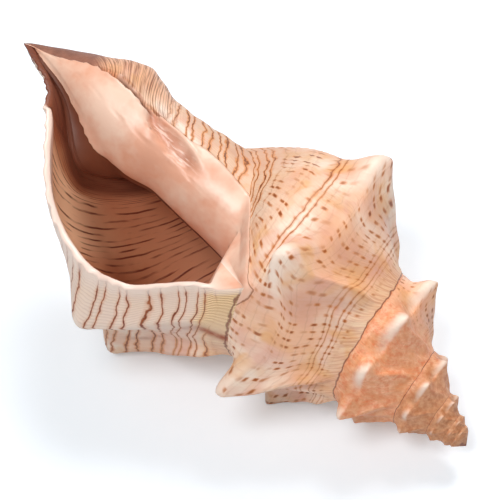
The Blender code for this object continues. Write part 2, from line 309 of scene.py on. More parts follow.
def tucked(turn, station, radius, drop):
    """Below the shoulder an old whorl tucks in, to meet the next whorl's upper edge."""
    top_radius, top_drop = OUTLINE_OF[0.0][:2]
    suture_radius, suture_drop = OUTLINE_OF[SUTURE][:2]
    inwards = top_radius * math.exp(RADIAL_RATE * WHORL) - suture_radius
    downwards = top_drop * math.exp(AXIAL_RATE * WHORL) - suture_drop
    tuck = old_share(turn) * ease(SHOULDER, SUTURE, station)
    tuck = tuck * (1 - ease(SUTURE, NECK + 0.05, station))
    radius = radius + tuck * inwards * np.exp(RADIAL_RATE * turn)
    return radius, drop + tuck * downwards * np.exp(AXIAL_RATE * turn)


def down_canal(turn, station, radius, drop):
    """Below the neck the wall runs down to the canal's tip, which stays put as the shell turns."""
    share = np.clip((station - NECK) / (TIP - NECK), 0, 1)
    neck_radius = OUTLINE_OF[NECK][0] * np.exp(RADIAL_RATE * turn)
    neck_drop = OUTLINE_OF[NECK][1] * np.exp(AXIAL_RATE * turn)
    canal_drop = neck_drop + (AXIS_LENGTH - neck_drop) * share
    canal_radius = along(canal_drop, PILLAR)
    canal_radius += (neck_radius - along(neck_drop, PILLAR)) * (1 - share) ** 3.2
    flare = CANAL_FLARE * bell(canal_drop, CANAL_FLARE_DROP, CANAL_FLARE_REACH)
    canal_radius += flare * ease(-0.2, 0, turn)
    below = station > NECK
    return np.where(below, canal_radius, radius), np.where(below, canal_drop, drop)


# %% The wall at a turn and station
def knob_rise(turn, station):
    """How much of a knob's height each station gets: a fold up from the suture, steep below."""
    fold = 0.62 * ease(0.0, 0.36, station) + 0.38 * bell(station, SHOULDER, 0.085)
    under_next = old_share(turn) * ease(SHOULDER + 0.03, SUTURE, station)
    below = bell(station, SHOULDER, 0.08) * (1 - under_next)
    return np.where(station < SHOULDER, fold * ease(0, 0.08, station), below)


def wall(turn, station, knob_share=1.0, glazed=True, rough=True):
    """Radius in mm, degrees round the axis and drop in mm of the outer surface."""
    radius, drop, lag = np.moveaxis(along(station, LIP_OUTLINE), -1, 0)
    radius, drop = radius * np.exp(RADIAL_RATE * turn), drop * np.exp(AXIAL_RATE * turn)
    radius, drop = tucked(turn, station, radius, drop)
    radius, drop = down_canal(turn, station, radius, drop)
    angle = LIP_ANGLE + 360 * turn + lag
    if glazed:
        radius = radius + glaze_relief(turn, station, angle, drop)
        if rough:
            radius = radius + (1 - glaze_share(turn, station)) * cords(turn, station)
            radius = radius + keen_edges(turn, station, lag)
    rise = knob_rise(turn, station) * knob_share
    for knob_turn, height, half_width, push in KNOBS:
        off = np.abs((turn - knob_turn) * 360 + 0.6 * lag) / half_width
        swell = np.exp(-(off**2.1)) * rise * math.exp(RADIAL_RATE * knob_turn)
        if rough:
            swell = swell * worn_knob(knob_turn)
        radius = radius + height * swell
        drop = drop + push * swell
    # The apex is worn blunt.
    if rough:
        dome = np.sqrt(np.clip(drop / 1.6, 0, 1))
        radius = radius + 1.5 * (1 - ease(0, 10, drop)) * dome
    return radius, angle, drop


def placed(radius, angle, drop):
    """Points in metres, with the shell's axis on Z and the apex at the origin."""
    turn = np.radians(angle)
    lean = along(drop, LEAN)
    return MM * np.stack([radius * np.cos(turn), lean - radius * np.sin(turn), -drop], -1)


shoulder = wall(np.array(0.0), np.array(SHOULDER))
print("shoulder at the lip: radius %.1f mm, %.1f mm below the apex" % (shoulder[0], shoulder[2]))

# %% [markdown]
# ## The skin as a sheet
#
# The outer wall is a flat sheet of growth steps by profile rows, which the rule coils up. A
# whorl's upper edge takes the very points of the row that it grew on, so the seams weld shut.

# %% The skin's points
STEPS = 150  # from a suture to the same suture one whorl on
UPPER = np.linspace(0, SUTURE, 43)
LOWER = np.concatenate([np.linspace(SUTURE, NECK, 41)[1:], np.linspace(NECK, TIP, 47)[1:]])
STATIONS = np.concatenate([UPPER, LOWER])
SUTURE_ROW = len(UPPER) - 1
count = round(TURNS * STEPS / WHORL)
TURN_OF = (np.arange(count + 1) - count) * WHORL / STEPS
skin = placed(*wall(*np.meshgrid(TURN_OF, STATIONS, indexing="ij")))
# The rows next to the suture are drawn to the row that it grew on, so the seam has no step.
drawn = skin[:-STEPS, SUTURE_ROW] - skin[STEPS:, 0]
skin[STEPS:] += drawn[:, None] * (1 - ease(0, 0.08, STATIONS))[:, None]
skin[STEPS:, 0] = skin[:-STEPS, SUTURE_ROW]
skin[:STEPS, 0] = (0, 0, APEX_RISE * MM)
skin[:, -1] = skin[-1, -1]
print("skin sheet:", skin.shape[0], "steps by", skin.shape[1], "rows")

# %% [markdown]
# ## The mouth and the hollow
#
# Inside, the tube is the same wall moved in by its thickness, thin at the lip and thicker deeper
# in. Its inner side is the wall of the whorl before. In the corner by the suture the snail laid
# its glaze thick, so the corner is filled by a round arc, the most at the lip.

# %% The filled corner
# Turns, reach along the outer wall mm, reach along the whorl before mm, share of the corner filled.
CORNER_GLAZE = [
    (-1.00, 2.5, 2.5, 0.0), (-0.40, 5.0, 5.0, 0.0), (-0.22, 9.0, 14.0, 0.6),
    (-0.10, 12.0, 24.0, 1.05), (0.00, 9.5, 24.0, 1.1),
]


def filled_corner(sides, reaches, fill):
    """Two sides from one corner, with the corner filled, and how far inside each point is."""
    corner = (sides[0][0] + sides[1][0]) / 2
    lengths, ends = [], []
    for side, reach in zip(sides, reaches):
        steps = np.diff(np.concatenate([corner[None], side]), axis=0)
        length = np.cumsum(np.linalg.norm(steps, axis=1)) / reach
        lengths.append(length)
        ends.append(np.array([np.interp(1, length, side[:, axis]) for axis in range(3)]))
    pull = corner + fill * ((ends[0] + ends[1]) / 2 - corner)
    filled = []
    for side, length, near, far in zip(sides, lengths, ends, ends[::-1]):
        share = 0.5 * (1 - np.clip(length, 0, 1))[:, None]
        arc = (1 - share) ** 2 * near + 2 * share * (1 - share) * pull + share**2 * far
        filled.append(np.where(share > 0, arc, side))
    return filled, [(1 - length) * reach / MM for length, reach in zip(lengths, reaches)]


# %% One section of the hollow
RIM, WALL = 1.7, 2.8  # thickness at the lip and deeper in, mm
CAVITY_TURNS, CAVITY_NECK, RINGS = 1.0, 0.78, 96
PILLAR_LEAD = 0.6 * WHORL / 40  # turns that the inner side is set back, clear of the skin's edge


def hollow_ring(turn):
    """One ring, along the outer wall and back up the pillar, and mm inside the corner's glaze."""
    behind = ease(0, 0.13, -turn)
    end = TIP - (TIP - CAVITY_NECK) * behind
    outer = np.where(STATIONS < 0.7, STATIONS, 0.7 + (STATIONS - 0.7) * (end - 0.7) / 0.3)
    radius, angle, drop = wall(np.full_like(outer, turn), outer, knob_share=0.75, glazed=False)
    step_out, step_down = np.gradient(radius), np.gradient(drop)
    length = np.hypot(step_out, step_down) + 1e-9
    thick = (RIM + (WALL - RIM) * ease(0, 0.25, -turn)) * math.exp(RADIAL_RATE * turn)
    thick = thick * (1 - 0.35 * ease(0.8, 1.0, STATIONS))
    radius = np.maximum(radius - thick * step_down / length, 0.4)
    drop = drop + thick * step_out / length
    drop = drop + 1.2 * thick * (1 - ease(0, 0.10, STATIONS) - ease(0.93, 1.0, STATIONS))
    before = turn - WHORL - PILLAR_LEAD
    neck_drop = OUTLINE_OF[NECK][1] * math.exp(AXIAL_RATE * before)
    reach = NECK + (TIP - NECK) * np.clip((drop[-1] - neck_drop) / (AXIS_LENGTH - neck_drop), 0, 1)
    inner = SUTURE + (LOWER[-2::-1] - SUTURE) * (reach - SUTURE) / (TIP - SUTURE)
    back = wall(np.full_like(inner, before), inner, rough=False)
    reach_out, reach_back, fill = along(turn, CORNER_GLAZE)
    sides = [placed(radius, angle, drop), placed(*back)[::-1]]
    filled, inside = filled_corner(sides, (MM * reach_out, MM * reach_back), fill)
    return np.concatenate([filled[0], filled[1][::-1]]), np.concatenate([inside[0], inside[1][::-1]])


# %% [markdown]
# The lip's edge isn't cut square: it is rounded over, so a few rings between the outer skin and
# the hollow bulge forwards. The hollow stops in a blind end after one turn, where no eye reaches.

# %% The hollow's rings
ring_turns = -CAVITY_TURNS * (np.arange(RINGS + 1) / RINGS) ** 1.15
sections = [hollow_ring(turn) for turn in ring_turns]
inside_glaze = np.array([inside for section, inside in sections])
rings = [section for section, inside in sections]
# The last rings draw in to the blind end.
for back, share in ((3, 0.9), (2, 0.7), (1, 0.35)):
    centre = rings[-back].mean(axis=0)
    rings[-back] = centre + share * (rings[-back] - centre)
rings.append(np.repeat(rings[-1].mean(axis=0)[None], len(rings[0]), axis=0))
print("rings from the lip to the blind end:", len(rings))

# %% The lip's rounded edge
ROUNDING = 0.5  # mm that the rounded edge bulges
EDGE_SHARES = (0.12, 0.35, 0.65, 0.88)  # of the way from the skin to the hollow
lip = np.concatenate([skin[-1], skin[-1 - STEPS, -2:SUTURE_ROW:-1]])
forward, bulge = np.zeros_like(lip), np.zeros(len(lip))
growing = skin[-1] - skin[-3]
on_lip = slice(len(STATIONS))
forward[on_lip] = growing / (np.linalg.norm(growing, axis=1)[:, None] + 1e-12)
bulge[on_lip] = ROUNDING * MM * ease(0.03, 0.12, STATIONS) * (1 - ease(0.90, 0.98, STATIONS))
edge_rings = []
for share in EDGE_SHARES:
    over = bulge[:, None] * forward * math.sqrt(math.sin(math.pi * share))
    edge_rings.append(lip + share * (rings[0] - lip) + over)
hollow = np.array([lip] + edge_rings + rings)
hollow = np.concatenate([hollow, hollow[:, :1]], axis=1)
print("hollow:", hollow.shape[0], "rings of", hollow.shape[1], "points")

# %% [markdown]
# ## From sheets to one closed shell
#
# Each sheet starts as a flat grid, and its points are moved to their places. Before the sheets are
# welded, every corner of every face is told where it is in the growth, in maps that the materials
# read. The maps sit on corners, not points, because two whorls share a suture's points.

# %% Add a sheet
MAPS = ("finish", "marks", "tones")


def add_sheet(mesh, points, maps, slot, covered=None):
    """A flat grid whose points are moved to their places. Faces that covered() names are left out."""
    steps, rows = points.shape[0] - 1, points.shape[1] - 1
    grid = bmesh.ops.create_grid(mesh, x_segments=steps, y_segments=rows, size=1)["verts"]
    spot = {}
    for vert in grid:
        spot[vert] = (round((vert.co.x + 1) / 2 * steps), round((vert.co.y + 1) / 2 * rows))
        vert.co = Vector(points[spot[vert]])
    growth = mesh.loops.layers.uv["growth"]
    layers = [mesh.loops.layers.float_color[name] for name in MAPS]
    hidden = []
    for face in {face for vert in grid for face in vert.link_faces}:
        if covered and covered(min(spot[vert] for vert in face.verts)):
            hidden.append(face)
            continue
        face.material_index = slot
        for loop in face.loops:
            at = spot[loop.vert]
            loop[growth].uv = maps[0][at]
            for layer, values in zip(layers, maps[1:]):
                loop[layer] = values[at]
    bmesh.ops.delete(mesh, geom=hidden, context="FACES")


# %% [markdown]
# ## Maps for the finishes
#
# The maps say where each finish lies. The first holds the growth itself, in turns and stations.
# The finish map holds how many mm a point is inside the glaze, how much it is rubbed, how deep it
# is in the hollow behind the shield, and how much it lies in the shade beside a fold.

# %% How far inside the glaze
SHIELD_TOP, HOLLOW_TOP, HOLLOW_FOOT = 97, 90, 131  # mm below the apex
DEGREE_MM = 0.16  # mm in one degree round the neck
MARGIN_MM = 240  # mm in one turn at the glaze's margin, which is a little narrower than the lip
ABOVE_NECK_MM, BELOW_NECK_MM = 100, 140  # mm in one unit of stations
turn_grid, station_grid = np.meshgrid(TURN_OF, STATIONS, indexing="ij")
angle_grid, drop_grid = wall(turn_grid, station_grid)[1:]
round_grid = angle_grid + 360
# The station where the glaze starts, a little lower where the next whorl sits.
glaze_start = 0.52 + 0.04 * (1 - ease(-0.94, -0.90, turn_grid))
inside_mm = (glaze_margin(station_grid) - turn_grid) * MARGIN_MM
inside_mm = np.minimum(inside_mm, (station_grid - glaze_start) * STATION_MM)
edge_grid, end_grid = shield_edges(drop_grid)
shield_mm = np.minimum((edge_grid - round_grid) * DEGREE_MM, drop_grid - SHIELD_TOP)
hollow_mm = np.minimum(round_grid - edge_grid, end_grid - round_grid) * DEGREE_MM
hollow_mm = np.minimum.reduce([hollow_mm, drop_grid - HOLLOW_TOP, HOLLOW_FOOT - drop_grid])
hollow_depth = hollow_share(station_grid, round_grid, drop_grid)
# Down to the neck the glaze covers the whorl, and below it only the shield and the hollow.
below_neck = np.maximum(shield_mm, hollow_mm)
above_neck = np.maximum(inside_mm, np.minimum(below_neck, (station_grid - 0.82) * ABOVE_NECK_MM))
below_neck = np.maximum(below_neck, np.minimum(inside_mm, (0.885 - station_grid) * BELOW_NECK_MM))
glaze_mm = np.where(station_grid > 0.86, below_neck, above_neck)
print("glazed points of the skin:", (glaze_mm > 0).sum(), "of", glaze_mm.size)

# %% Rubbed crests and shaded dips
rub, shade = np.zeros_like(turn_grid), np.zeros_like(turn_grid)
ramp = ease(0.02, 0.12, station_grid) * (1 - ease(0.30, 0.42, station_grid))
for knob_turn, tall, half_width, push in KNOBS:
    off = (turn_grid - knob_turn) * 360 / half_width
    # A crest's rub trails off backwards, further on the old whorls.
    wide, back = (0.065, 1.6) if knob_turn > -1.5 else (0.055, 1.9)
    trail = np.exp(-((off / np.where(off < 0, back, 0.55)) ** 2))
    streak = trail * bell(station_grid, SHOULDER + 0.01, wide)
    rub = np.maximum(rub, streak * min(tall / 12, 1.0) * worn_knob(knob_turn))
    shade = np.maximum(shade, bell(off, -0.9, 0.5) * ramp)
# The skin beside the hollow is rubbed too.
beside = bell(round_grid, end_grid + 11, 10)
beside = beside * ease(92, 99, drop_grid) * (1 - ease(111, 116, drop_grid))
rub = np.maximum(rub, 0.9 * beside * ease(0.80, 0.84, station_grid))
skin_finish = np.stack([glaze_mm, rub, hollow_depth, shade], -1)
print("rubbed points of the skin:", (rub > 0.4).sum())

# %% [markdown]
# The snail's mantle has rows of cells that lay brown lines in pairs. The marks map counts those
# pairs, and says how solid the lines are, how dark, and how much the skin is stained like honey.

# %% Where the brown lines run
# The lines' stations. Pair n has its lines at n - 0.2 and n + 0.2 on the map.
LINE_SIDE = 0.2
LINES = [
    0.040, 0.068, 0.100, 0.119, 0.152, 0.169, 0.209, 0.244, 0.296, 0.321, 0.369, 0.393,
    0.462, 0.492, 0.515, 0.532, 0.600, 0.620, 0.670, 0.695, 0.730, 0.750, 0.777, 0.793,
]
# From the neck to the tip they are evenly spaced.
NECK_START, NECK_STEP, NECK_GAP, NECK_PAIRS = LINES[-1], 0.016, 0.007, 13
for n in range(1, NECK_PAIRS + 1):
    LINES += [NECK_START + NECK_STEP * n, NECK_START + NECK_STEP * n + NECK_GAP]
LINE_NUMBERS = [n + side for n in range(len(LINES) // 2) for side in (-LINE_SIDE, LINE_SIDE)]
# By the lip the lines lean over a little: (turn, stations).
LINE_LEAN = [(-0.30, 0), (-0.20, -0.01), (-0.12, -0.02), (-0.05, 0.022), (0, 0)]
line_lean = along(np.clip(turn_grid, -0.30, 0), LINE_LEAN)
line_lean = line_lean * (1 - ease(0.45, 0.55, station_grid))
pair_count = np.interp(station_grid + line_lean, LINES, LINE_NUMBERS)
print("pairs of lines:", len(LINES) // 2)

# %% How solid and how dark they are
by_lip = ease(-0.30, -0.10, turn_grid)
ramp_line = 0.6 * bell(station_grid, 0.135, 0.035)
belt_line = bell(station_grid, 0.524, 0.018) * ease(-0.87, -0.83, turn_grid)
solid = np.maximum.reduce([ramp_line, belt_line, ease(0.68, 0.74, station_grid), by_lip])
young = ease(-1.74, -1.62, turn_grid)
dark = np.maximum(young, 0.25 * bell(station_grid, 0.50, 0.03)) * ease(0.045, 0.09, station_grid)
dark = dark * (1 - 0.6 * bell(station_grid, SHOULDER, 0.03) * (1 - by_lip))
dark = dark * (1 - ease(0.865, 0.890, station_grid))
stain = (1 - ease(0.075, 0.115, station_grid)) * (0.5 + 0.5 * ease(-0.13, -0.02, turn_grid))
skin_marks = np.stack([pair_count, solid, dark, stain * young], -1)

# %% [markdown]
# The tones map holds the rest: the distance that counts the threads on the old canals' ridge, one
# growth line that is stained red-brown, the drop below the apex, and the pale new edge of the lip.

# %% The ridge, the stained line and the new edge
# The threads lean across the ridge, so they are counted by the drop less this many mm for each
# natural logarithm of the degrees round the axis.
RIDGE_LEAN, RIDGE_FROM = 6.5, 12
ridge_mm = drop_grid - RIDGE_LEAN * np.log(np.maximum(round_grid, RIDGE_FROM))
# Station, turns.
STAINED_LINE = [
    (0.0, -0.100), (0.044, -0.089), (0.087, -0.077), (0.142, -0.085), (0.246, -0.125),
    (0.373, -0.134),
]
stained_at = along(np.clip(station_grid, 0, 0.373), STAINED_LINE)
blot = bell(turn_grid, stained_at - 0.004, 0.010) * (1 - ease(0.08, 0.16, station_grid))
hairline = 0.5 * bell(turn_grid, stained_at, 0.0035) * (1 - ease(0.30, 0.42, station_grid))
wide_rim = ease(0.46, 0.56, station_grid) * (1 - ease(0.82, 0.90, station_grid))
wide_rim = wide_rim * ease(-0.055, -0.025, turn_grid)
pale_lip = np.maximum(ease(-0.008, -0.005, turn_grid), wide_rim)
pale_lip = pale_lip * (1 - ease(0.79, 0.83, station_grid))
skin_tones = np.stack([ridge_mm, np.maximum(blot, hairline), drop_grid, pale_lip], -1)
skin_growth = np.stack([turn_grid, station_grid], -1)
skin_maps = [skin_growth, skin_finish, skin_marks, skin_tones]

# %% [markdown]
# The hollow's maps hold how many mm a point is inside the pale glaze (the lip's edge, the filled
# corner and the near side of the pillar), whether it is on the pillar, how deep it is behind the lip,
# and how much painted light it gets: a band inside the outer wall near the lip is painted paler, as
# if lit. Their marks count the threads.

# %% Places in the hollow
INNER_TURN_MM = 200  # mm round the hollow's inner side in one turn
THREADS = 64  # dark threads in one unit of stations, so they are 1.7 mm apart
ring_place = np.concatenate([STATIONS, 1 + (1 - LOWER[-2::-1])])
ring_turn = np.concatenate([np.zeros(1 + len(edge_rings)), ring_turns, ring_turns[-1:]])
place_turn, place = np.meshgrid(ring_turn, ring_place, indexing="ij")
edge_depth = np.concatenate([[0.0], RIM * np.array(EDGE_SHARES)])
depth = np.concatenate([edge_depth, RIM - TURN_MM * ring_turns, [TURN_MM]])
depth = depth[:, None] + 0 * place
lip_corner = np.repeat(inside_glaze[:1], 1 + len(edge_rings), axis=0)
corner = np.concatenate([lip_corner, inside_glaze, inside_glaze[-1:]])

# %% Where the lining is pale
# Station, mm of pale glaze behind the lip.
PALE_BAND = [
    (0, 2.0), (0.3, 1.9), (0.48, 2.6), (0.60, 5.5), (0.72, 6.5), (0.79, 2.5), (0.83, -1.5),
    (1, -2.0),
]
# Place across the pillar, turns that its glaze reaches in.
PALE_PILLAR = [(1.0, 0.16), (1.1, 0.16), (1.25, 0.13), (1.45, 0.11)]
on_pillar = place > 1.003
band = along(np.clip(ring_place, 0, 1), PALE_BAND)[None] - depth
soft_corner = 0.3 * (corner + 3 - 50 * (1 - ease(-0.35, -0.08, place_turn)))
pillar = along(np.clip(ring_place, 1, 1.5), PALE_PILLAR)[None] + place_turn
pillar = np.where(on_pillar, pillar * INNER_TURN_MM, -20.0)
pale = np.maximum.reduce([band, soft_corner, pillar])
# Painted light: a band on the outer wall's inner side, near the lip, is painted paler, as if lit.
lit_side_paint = ease(0.52, 0.62, place) * (1 - ease(0.72, 0.78, place)) * (1 - ease(20, 50, depth))
lining_finish = np.stack([pale, np.where(on_pillar, 1.0, 0.0), depth, lit_side_paint], -1)
lining_marks = np.stack([place * THREADS, 0 * place, 0 * place, 0 * place], -1)
lining_growth = np.stack([place_turn, place], -1)
lining_maps = [lining_growth, lining_finish, lining_marks, 0 * lining_marks]
lining_maps = [np.concatenate([values, values[:, :1]], axis=1) for values in lining_maps]
print("pale points of the lining:", (pale > 0).sum(), "of", pale.size)

# %% [markdown]
# The skin on the old whorls that the last one covers isn't made below the suture, where nothing
# sees it. Points that meet are welded, and the joined sheets close into one solid.

# %% Weld the shell
shell = bmesh.new()
shell.loops.layers.uv.new("growth")
for name in MAPS:
    shell.loops.layers.float_color.new(name)
last_whorl = len(skin) - 1 - STEPS
add_sheet(shell, skin, skin_maps, 0, lambda at: at[0] < last_whorl and at[1] >= SUTURE_ROW)
add_sheet(shell, hollow, lining_maps, 1)
bmesh.ops.remove_doubles(shell, verts=shell.verts, dist=0.00001)
bmesh.ops.holes_fill(shell, edges=shell.edges)
bmesh.ops.triangulate(shell, faces=shell.faces)
bmesh.ops.recalc_face_normals(shell, faces=shell.faces)
open_edges = sum(not edge.is_manifold for edge in shell.edges)
print("shell:", len(shell.faces), "triangles,", open_edges, "open edges")

# %% [markdown]
# ## Laying it down
#
# The shell is turned to where it rests, mouth up and apex low. Years of sand wore small flats on
# the knobs that it lies on, so the lowest part is cut level with the floor, and the cuts are
# closed. The plain model says where the middle of the footprint is.

# %% Turn, wear and place
OWN_TURN, APEX_DIP, HEADING = -156.8, 21.3, -42.0  # degrees
WORN_FLAT = 0.9  # mm worn off the knobs that it rests on
lie = (
    Matrix.Rotation(math.radians(HEADING), 4, "Z")
    @ Matrix.Rotation(math.radians(90 + APEX_DIP), 4, "Y")
    @ Matrix.Rotation(math.radians(OWN_TURN), 4, "Z")
)
bmesh.ops.transform(shell, matrix=lie, verts=shell.verts)
lowest = min(vert.co.z for vert in shell.verts)
floor_level = Vector((0, 0, lowest + WORN_FLAT * MM))
everything = shell.verts[:] + shell.edges[:] + shell.faces[:]
bmesh.ops.bisect_plane(
    shell, geom=everything, plane_co=floor_level, plane_no=(0, 0, -1), clear_outer=True
)
bmesh.ops.holes_fill(shell, edges=shell.edges)
bmesh.ops.triangulate(shell, faces=shell.faces)
low = Vector([min(vert.co[axis] for vert in shell.verts) for axis in range(3)])
high = Vector([max(vert.co[axis] for vert in shell.verts) for axis in range(3)])
cad_low, cad_high = Vector(cad_box[0]), Vector(cad_box[1])
move = (cad_low + cad_high - low - high) / 2
move.z = cad_low.z - low.z
bmesh.ops.translate(shell, vec=move, verts=shell.verts)
print("dressed shell, mm:", [round(1000 * x, 1) for x in high - low])

# %% [markdown]
# The finished mesh becomes one piece, which rides on the plain model's only body and is shown in
# the place of its solid.

# %% Make the piece
shell_data = bpy.data.meshes.new("fox_shell")
shell.to_mesh(shell_data)
shell.free()
shell_data.shade_smooth()
fox_shell = bpy.data.objects.new("fox_shell", shell_data)
bpy.context.scene.collection.objects.link(fox_shell)
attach(fox_shell, "root")
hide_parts("shell")
print("piece:", fox_shell.name, "with", len(shell_data.polygons), "faces")

# %% [markdown]
# ## Material helpers
#
# Colours are written as on a paint chart and turned to the linear values that light is worked out
# in. One function adds a node with its settings and links. Another starts a material: it names
# the sockets of the maps, and makes the noise patterns. Some lie in the shell's body at one size.
# Others are drawn out along the growth, as what the snail laid down bit by bit is.

# %% Colour and node helpers
def paint(code):
    """A #RRGGBB colour as linear red, green, blue and alpha."""
    parts = [int(code[i:i + 2], 16) / 255 for i in (1, 3, 5)]
    return tuple(x / 12.92 if x <= 0.04045 else ((x + 0.055) / 1.055) ** 2.4 for x in parts) + (1.0,)


def add(tree, kind, inputs=None, **settings):
    """A node with its settings. An input is a value, or the node or socket that feeds it."""
    node = tree.nodes.new("ShaderNode" + kind)
    for name, value in settings.items():
        setattr(node, name, value)
    for name, value in (inputs or {}).items():
        by_name = [socket for socket in node.inputs if socket.enabled and socket.name == name]
        socket = by_name[0] if by_name else node.inputs[name]
        if isinstance(value, bpy.types.Node):
            value = next(out for out in value.outputs if out.enabled)
        if isinstance(value, bpy.types.NodeSocket):
            tree.links.new(value, socket)
        else:
            socket.default_value = value
    return node


# %% Start a material
ARAGONITE_IOR, GLAZE_ROUGHNESS = 1.55, 0.36


def new_material(name, parts_of, noises, streaks):
    """A material's tree and Principled shader, and its map sockets and patterns by name."""
    material = bpy.data.materials.new(name)
    material.use_nodes = True
    fox_shell.data.materials.append(material)
    tree = material.node_tree
    uv = add(tree, "SeparateXYZ", {"Vector": add(tree, "UVMap", uv_map="growth").outputs["UV"]})
    at = {"turn": uv.outputs["X"], "station": uv.outputs["Y"]}
    at["object"] = add(tree, "TexCoord").outputs["Object"]
    for stored, parts in parts_of.items():
        carried = add(tree, "Attribute", attribute_name=stored)
        split = add(tree, "SeparateXYZ", {"Vector": carried.outputs["Vector"]})
        at.update(zip(parts, list(split.outputs) + [carried.outputs["Alpha"]]))
    for pattern, (per_metre, detail, roughness, swirl) in noises.items():
        at[pattern] = add(tree, "TexNoise", {
            "Vector": at["object"], "Scale": per_metre, "Detail": detail,
            "Roughness": roughness, "Distortion": swirl,
        })
    for pattern, (across, times, along_it, repeats, detail, roughness) in streaks.items():
        counted = add(tree, "CombineXYZ", {
            "X": add(tree, "Math", {0: at[across], 1: times}, operation="MULTIPLY"),
            "Y": add(tree, "Math", {0: at[along_it], 1: repeats}, operation="MULTIPLY"),
        })
        at[pattern] = add(tree, "TexNoise", {
            "Vector": counted, "Scale": 1.0, "Detail": detail, "Roughness": roughness,
        })
    shader = tree.nodes["Principled BSDF"]
    shader.inputs["IOR"].default_value = ARAGONITE_IOR
    return tree, shader, at


# %% [markdown]
# ## The skin
#
# The skin is aragonite laid in thin layers, dull like unglazed china: cream, with peach, pink and
# honey patches as big as a fingertip. Fine streaks follow the lip, one for every short spell of
# growth, so their pattern is drawn out along the stations. The colours could be painted by hand on
# the mesh. They are built up in coats instead, each where its map or its pattern says, from the
# ground to the glaze.

# %% Skin: its patterns
SKIN_MAPS = {
    "finish": ("glaze mm", "rub", "hollow", "shade"),
    "marks": ("pair", "solid", "dark", "honey"),
    "tones": ("ridge mm", "stain", "drop mm", "pale lip"),
}
CLOUDS = (70, 4, 0.6, 0)
# Times per metre, detail, roughness and swirl of the patterns that lie in the shell's body. The
# largest, the patches, are 18 mm across, and the specks 1.2 mm.
SKIN_NOISES = {
    "patches": (55, 3, 0.5, 0), "pinks": (85, 2, 0.5, 0.6), "honeys": (120, 2, 0.5, 0.4),
    "mottle": (330, 3, 0.5, 0), "specks": (800, 4, 0.65, 0), "unsteady": (260, 3, 0.5, 0),
    "ragged": (220, 3, 0.5, 0), "clouds": CLOUDS,
}
# The map across a streak and how often it repeats in one unit of that map, the same along it,
# detail and roughness. One turn is about 250 mm at the lip, and one unit of stations 110 mm.
SKIN_STREAKS = {
    "spells": ("turn", 190, "station", 9, 3, 0.65),
    "ribs": ("turn", 260, "station", 12, 2, 0.5),
    "clumps": ("turn", 16, "pair", 0.45, 1, 0.5),
    "threads": ("ridge mm", 1.5, "turn", 9, 2, 0.5),
    "veins": ("turn", 90, "drop mm", 0.22, 3, 0.5),
}
tree, skin_shader, at = new_material("peach aragonite skin", SKIN_MAPS, SKIN_NOISES, SKIN_STREAKS)
print("skin patterns:", len(SKIN_NOISES) + len(SKIN_STREAKS))

# %% Skin: ground and patches
patch_share = add(tree, "MapRange", {"Value": at["patches"], "From Min": 0.40, "From Max": 0.62})
ground = add(tree, "Mix", {
    "Factor": patch_share, "A": paint("#F8BE98"), "B": paint("#FFE4CE"),
}, data_type="RGBA")
pink_share = add(tree, "MapRange", {
    "Value": at["pinks"], "From Min": 0.48, "From Max": 0.66, "To Max": 0.62,
})
honey_share = add(tree, "MapRange", {
    "Value": at["honeys"], "From Min": 0.53, "From Max": 0.68, "To Max": 0.62,
})
on_neck = add(tree, "MapRange", {
    "Value": at["station"], "From Min": 0.60, "From Max": 0.72, "To Max": 0.5,
})
off_neck = add(tree, "MapRange", {
    "Value": at["station"], "From Min": 0.84, "From Max": 0.88, "To Min": 1.0, "To Max": 0.3,
})
# Painted shade: the neck's skin is darkened to a greyer tone, where it turns away from the light.
neck_painted_shade = add(tree, "Math", {0: on_neck, 1: off_neck}, operation="MULTIPLY")
# Painted shade: the skin beside each fold, on its older side, is darkened to mauve.
shade_share = add(tree, "Math", {0: at["shade"], 1: 0.38}, operation="MULTIPLY")
coats = [
    (pink_share, paint("#E9A48C")), (honey_share, paint("#F0B06A")),
    (neck_painted_shade, paint("#D6B496")), (shade_share, paint("#CC8B77")),
]
print("nodes in the skin:", len(tree.nodes))

# %% [markdown]
# The oldest whorls have worn down to a terracotta layer, speckled, browner towards the apex, and
# streaked by the growth spells.

# %% Skin: growth streaks and old whorls
spell_share = add(tree, "MapRange", {
    "Value": at["spells"], "From Min": 0.48, "From Max": 0.78, "To Max": 0.38,
})
mottle_share = add(tree, "MapRange", {"Value": at["mottle"], "From Min": 0.25, "From Max": 0.80})
speckle = add(tree, "MapRange", {"Value": at["specks"], "From Min": 0.38, "From Max": 0.64})
warmer = add(tree, "MapRange", {
    "Value": at["mottle"], "From Min": 0.40, "From Max": 0.65, "To Max": 0.5,
})
bands = add(tree, "MapRange", {
    "Value": at["spells"], "From Min": 0.40, "From Max": 0.70, "To Max": 0.7,
})
oldest = add(tree, "MapRange", {
    "Value": at["turn"], "From Min": -1.90, "From Max": -3.2, "To Max": 0.8,
})
old_brown = add(tree, "Mix", {
    "Factor": speckle, "A": paint("#B87446"), "B": paint("#D89C70"),
}, data_type="RGBA")
terracotta = add(tree, "Mix", {
    "Factor": speckle, "A": paint("#EA824F"), "B": paint("#FFC096"),
}, data_type="RGBA")
old_coats = [(warmer, paint("#EDA269")), (bands, paint("#E4A074")), (oldest, old_brown)]
for share, tone in old_coats:
    terracotta = add(tree, "Mix", {"Factor": share, "A": terracotta, "B": tone}, data_type="RGBA")
old_edge = add(tree, "Math", {0: at["mottle"], 1: 0.12, 2: at["turn"]}, operation="MULTIPLY_ADD")
old_share = add(tree, "MapRange", {"Value": old_edge, "From Min": -1.57, "From Max": -1.68})
coats += [(spell_share, paint("#DD9A74")), (old_share, terracotta)]
print("nodes in the skin:", len(tree.nodes))

# %% [markdown]
# Near each suture the skin is stained honey brown, by the lip the most, where growth lines 0.75 mm
# apart cross it. Those run on, faintly, over the whole lip, which is cream.

